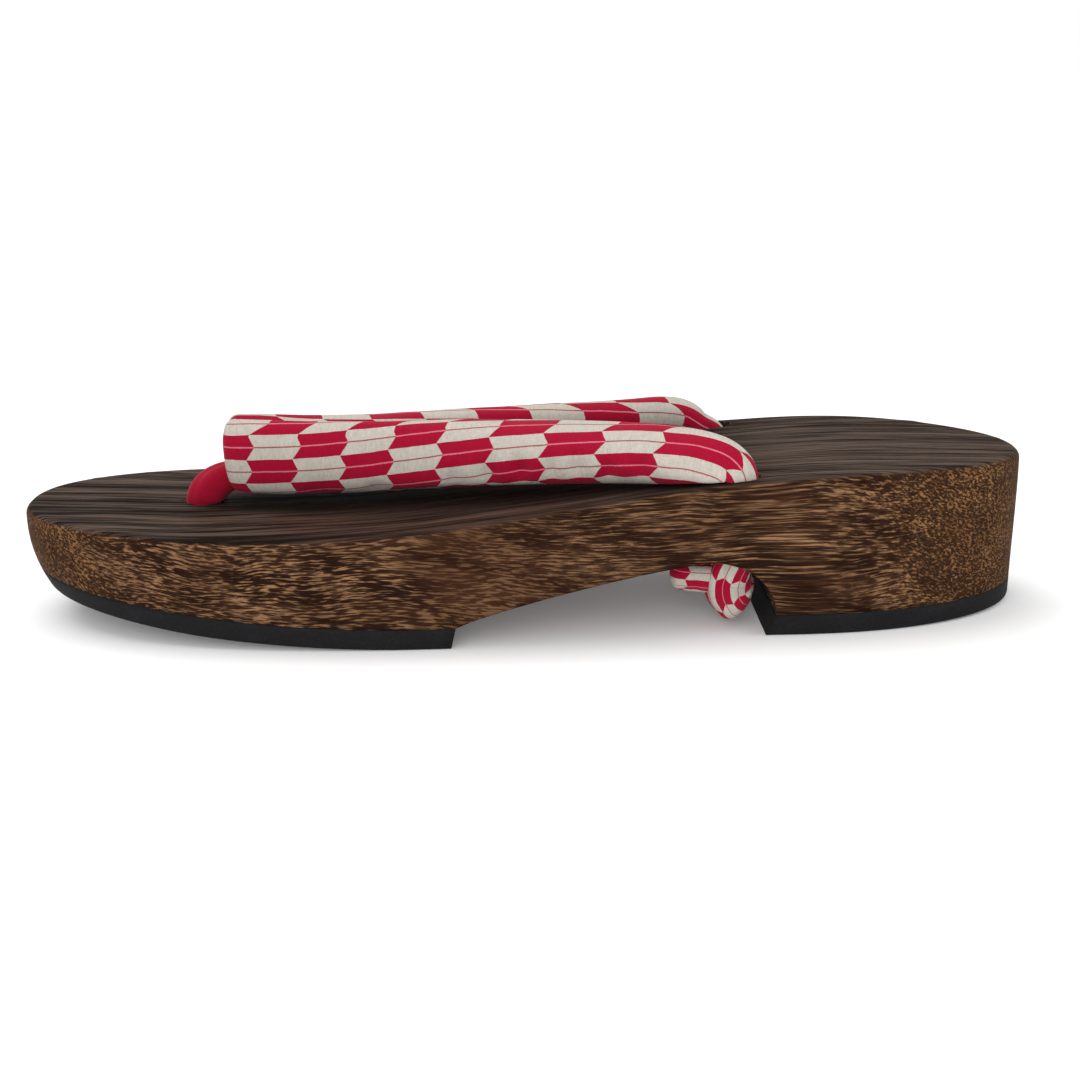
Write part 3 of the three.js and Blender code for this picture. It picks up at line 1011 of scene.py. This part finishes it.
class GetaColours(bpy.types.PropertyGroup):
    """Colours of the wood, the rubber, the cotton and the floor"""

    wood_burnt: colour_property("Burnt wood", "The darkest grain", 0.010, 0.006, 0.005)
    wood_dark: colour_property("Dark wood", "Grain between the streaks", 0.030, 0.011, 0.006)
    wood_red: colour_property("Red wood", "The redder bands of the wood", 0.080, 0.032, 0.017)
    wood_tan: colour_property("Tan streaks", "Streaks where the char is brushed off", 0.31, 0.165, 0.082)
    wood_orange: colour_property("Orange streaks", "Streaks near the ends", 0.30, 0.150, 0.062)
    heel_brown: colour_property("Brown of the ends", "Grain between their curls", 0.085, 0.040, 0.019)
    # The colour of the footbed's ridges includes painted sheen.
    footbed_ridges_and_sheen: colour_property("Footbed", "Worn ridges of the footbed", 0.108, 0.076, 0.058)
    footbed_red: colour_property("Footbed by the strap", "Ridges worn less", 0.075, 0.032, 0.021)
    rubber: colour_property("Rubber", "The soles", 0.008, 0.008, 0.009)
    ink_red: colour_property("Print red", "The arrow feathers", 0.40, 0.003, 0.034)
    ink_dark: colour_property("Print dark red", "Threads of the feathers in shade", 0.30, 0.002, 0.020)
    line_pink: colour_property("Line pink", "The middle line of a red feather", 0.66, 0.20, 0.25)
    cotton_white: colour_property("Cotton", "The unprinted cloth", 0.60, 0.55, 0.48)
    cotton_shade: colour_property("Cotton shade", "Threads of the cloth in shade", 0.38, 0.345, 0.30)
    thong_red: colour_property("Thong red", "The toe thong", 0.36, 0.003, 0.026)
    thong_dark: colour_property("Thong dark red", "The toe thong in shade", 0.28, 0.002, 0.016)
    floor: colour_property("Floor", "The pale floor", 0.97, 0.97, 0.97)


def attach(piece, slot, *nodes):
    """Puts a finished piece on the sandal's one body, in place of its solid."""
    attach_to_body(piece, BODY)
    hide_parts(*nodes)


def find_finish(name, maker):
    """The named material, made the first time that it is asked for."""
    found = bpy.data.materials.get(name)
    return found or maker(bpy.context.scene.geta_colours)


class GETA_OT_board(bpy.types.Operator):
    """Make the wooden board with its footbed, arch and three holes"""

    bl_idname = "geta.board"
    bl_label = "Board"

    def execute(self, context):
        board = make_board(context.scene.geta_sizes, charred_wood(context.scene.geta_colours))
        attach(board, "charred_wood", "wooden_base")
        return {"FINISHED"}


class GETA_OT_soles(bpy.types.Operator):
    """Make the two rubber soles"""

    bl_idname = "geta.soles"
    bl_label = "Soles"

    def execute(self, context):
        rubber = black_rubber(context.scene.geta_colours)
        for name, loop, node in (
            ("forefoot_rubber", forefoot_loop, "forefoot_sole"),
            ("heel_rubber", heel_loop, "heel_sole"),
        ):
            sole = finish_piece(skin(sole_rings(loop, 10)), name, rubber)
            attach(sole, "black_rubber", node)
        return {"FINISHED"}


class GETA_OT_strap(bpy.types.Operator):
    """Make the two padded bands of the strap"""

    bl_idname = "geta.strap"
    bl_label = "Strap"

    def execute(self, context):
        sizes = context.scene.geta_sizes
        cotton = find_finish("printed_crepe", arrow_cotton)
        for name, hand in (("near_band", -1), ("far_band", 1)):
            route = Route(band_rows(hand))
            nose, lean = SLEEVE["band_nose"], NOSE_LEAN["slope"]
            bm, marks = make_sleeve(route, (0, 0, 1), hand, nose, lean=lean)
            band = finish_piece(bm, name, cotton, merge=SLEEVE["merge"])
            held_from = route.length - FILLING["band_held"]
            puff_up(band, marks, held_from, sizes.pressure, sizes.puff)
            press_folds(band, marks, BAND_PUCKERS)
            rest_on_wood(band)
            smooth_out(band)
            attach(band, "arrow_cotton", "strap")
        return {"FINISHED"}


class GETA_OT_thong(bpy.types.Operator):
    """Make the red toe thong"""

    bl_idname = "geta.thong"
    bl_label = "Toe thong"

    def execute(self, context):
        route = Route(THONG)
        bm, marks = make_sleeve(route, (-1, 0, 0), 1, 0.0, spacing=1.0)
        thong = finish_piece(bm, "thong", find_finish("crimson_crepe", red_cotton), merge=SLEEVE["merge"])
        held_from = route.length - FILLING["thong_held"]
        pressure = context.scene.geta_sizes.pressure
        puff_up(thong, marks, held_from, pressure, FILLING["thong_cap"])
        press_folds(thong, marks, THONG_FOLDS)
        rest_on_wood(thong)
        smooth_out(thong)
        attach(thong, "red_cotton", "toe_thong")
        return {"FINISHED"}


class GETA_OT_knots(bpy.types.Operator):
    """Make the knots of the strap's ends, under the arch"""

    bl_idname = "geta.knots"
    bl_label = "Knots"

    def execute(self, context):
        cotton = find_finish("printed_crepe", arrow_cotton)
        for name, hand, node in (
            ("near_knot", -1, "strap_knot_near"), ("far_knot", 1, "strap_knot_far"),
        ):
            parts = []
            halves = ((KNOT_LOBE, LOBE_FOLDS, -hand), (KNOT_TAIL, TAIL_FOLDS, hand))
            for rows, folds, outwards in halves:
                route = Route(mirrored(rows, hand))
                nose = SLEEVE["knot_nose"]
                bm, marks = make_sleeve(route, (0, 0, 1), outwards, nose, spacing=1.0, gather=1.6)
                part = finish_piece(bm, name, cotton, merge=SLEEVE["merge"])
                press_folds(part, marks, folds)
                smooth_out(part)
                parts.append(part)
            with context.temp_override(active_object=parts[0], selected_editable_objects=parts):
                bpy.ops.object.join()
            attach(parts[0], "arrow_cotton", node)
        return {"FINISHED"}


# The camera looks along +Y and down, turned a little towards the heel and rolled a touch.
CAMERA = {
    "place": (-4.43, -473.57, 137.46), "lens": 65.05, "sensor": 36, "down": 14.55, "turn": 1.0,
    "roll": -0.57,
}

# Soft lamps: where each stands and what it looks at in millimetres, its size and its power. A sun
# has the direction that it shines from, its spread in degrees and its strength.
LAMPS = [
    {"name": "front", "place": (-250, -800, 350), "aim": (0, 0, 20), "size": 700, "watts": 2.0},
    {"name": "side", "place": (600, -150, 450), "aim": (0, 0, 20), "size": 500, "watts": 0.8},
]
SUNS = [
    {"name": "sun_above", "from": (-0.35, 0.30, 0.9), "angle": 50, "strength": 1.5},
    {"name": "sun_in_front", "from": (-0.08, -0.93, 0.36), "angle": 24, "strength": 0.42},
]
FLOOR = {"half_size": 6000, "squares": 8}
SKY = {"seen": 1.0, "light": 0.62}  # brightness of the backdrop, and of the light that it gives


class GETA_OT_stage(bpy.types.Operator):
    """Make the floor, the sky, the suns, the soft lamps and the camera"""

    bl_idname = "geta.stage"
    bl_label = "Stage"

    def execute(self, context):
        scene = context.scene
        bm = bmesh.new()
        squares = FLOOR["squares"]
        bmesh.ops.create_grid(bm, x_segments=squares, y_segments=squares, size=FLOOR["half_size"])
        floor = finish_piece(bm, "floor", pale_floor(scene.geta_colours))
        scene.world = self.sky()
        for row in SUNS:
            sun = bpy.data.lights.new(row["name"], "SUN")
            sun.angle = math.radians(row["angle"])
            sun.energy = row["strength"]
            self.hang(scene, sun, (0, 0, 1), Vector(row["from"]))
        for lamp in LAMPS:
            light = bpy.data.lights.new(lamp["name"], "AREA")
            light.shape = "DISK"
            light.size = lamp["size"] * MM
            light.energy = lamp["watts"]
            place = Vector(lamp["place"]) * MM
            self.hang(scene, light, place, place - Vector(lamp["aim"]) * MM)
        scene.collection.objects.link(self.camera())
        scene.camera = bpy.data.objects["camera"]
        scene.view_settings.view_transform = "Standard"
        return {"FINISHED"}

    def hang(self, scene, light, place, backwards):
        holder = bpy.data.objects.new(light.name, light)
        holder.location = place
        holder.rotation_euler = (-backwards).to_track_quat("-Z", "Y").to_euler()
        scene.collection.objects.link(holder)

    def sky(self):
        """An even white surround, brighter where it is seen than where it lights."""
        world = bpy.data.worlds.new("studio")
        world.use_nodes = True
        tree = world.node_tree
        ray = tree.nodes.new("ShaderNodeLightPath")
        level = tree.nodes.new("ShaderNodeMapRange")
        level.inputs["To Min"].default_value = SKY["light"]
        level.inputs["To Max"].default_value = SKY["seen"]
        tree.links.new(ray.outputs["Is Camera Ray"], level.inputs["Value"])
        tree.links.new(level.outputs["Result"], tree.nodes["Background"].inputs["Strength"])
        tree.nodes["Background"].inputs["Color"].default_value = (1, 1, 1, 1)
        return world

    def camera(self):
        down, turn = math.radians(CAMERA["down"]), math.radians(CAMERA["turn"])
        ahead = math.cos(down)
        forward = Vector((math.sin(turn) * ahead, math.cos(turn) * ahead, -math.sin(down)))
        right = Vector((math.cos(turn), -math.sin(turn), 0))
        level = Matrix((right, right.cross(forward), -forward)).transposed()
        camera = bpy.data.objects.new("camera", bpy.data.cameras.new("camera"))
        camera.data.lens = CAMERA["lens"]
        camera.data.sensor_width = CAMERA["sensor"]
        camera.data.clip_end = 50
        rolled = level.to_4x4() @ Matrix.Rotation(math.radians(CAMERA["roll"]), 4, "Z")
        camera.matrix_world = Matrix.Translation(Vector(CAMERA["place"]) * MM) @ rolled
        return camera


class GETA_PT_panel(bpy.types.Panel):
    """Lists the pieces of the sandal, with its sizes and colours"""

    bl_idname = "GETA_PT_panel"
    bl_label = "Geta Sandal"
    bl_space_type = "VIEW_3D"
    bl_region_type = "UI"
    bl_category = "Geta"

    def draw(self, context):
        column = self.layout.column()
        for operator in OPERATORS:
            column.operator(operator.bl_idname)
        for group in (context.scene.geta_sizes, context.scene.geta_colours):
            for name in group.__annotations__:
                column.prop(group, name)


OPERATORS = (GETA_OT_board, GETA_OT_soles, GETA_OT_strap, GETA_OT_thong, GETA_OT_knots, GETA_OT_stage)
CLASSES = (GetaSizes, GetaColours, *OPERATORS, GETA_PT_panel)


def register():
    for cls in CLASSES:
        bpy.utils.register_class(cls)
    bpy.types.Scene.geta_sizes = PointerProperty(type=GetaSizes)
    bpy.types.Scene.geta_colours = PointerProperty(type=GetaColours)


def unregister():
    del bpy.types.Scene.geta_sizes
    del bpy.types.Scene.geta_colours
    for cls in reversed(CLASSES):
        bpy.utils.unregister_class(cls)


def main():
    register()
    bpy.ops.geta.stage()
    bpy.ops.geta.board()
    bpy.ops.geta.soles()
    bpy.ops.geta.strap()
    bpy.ops.geta.thong()
    bpy.ops.geta.knots()


if __name__ == "__main__":
    main()
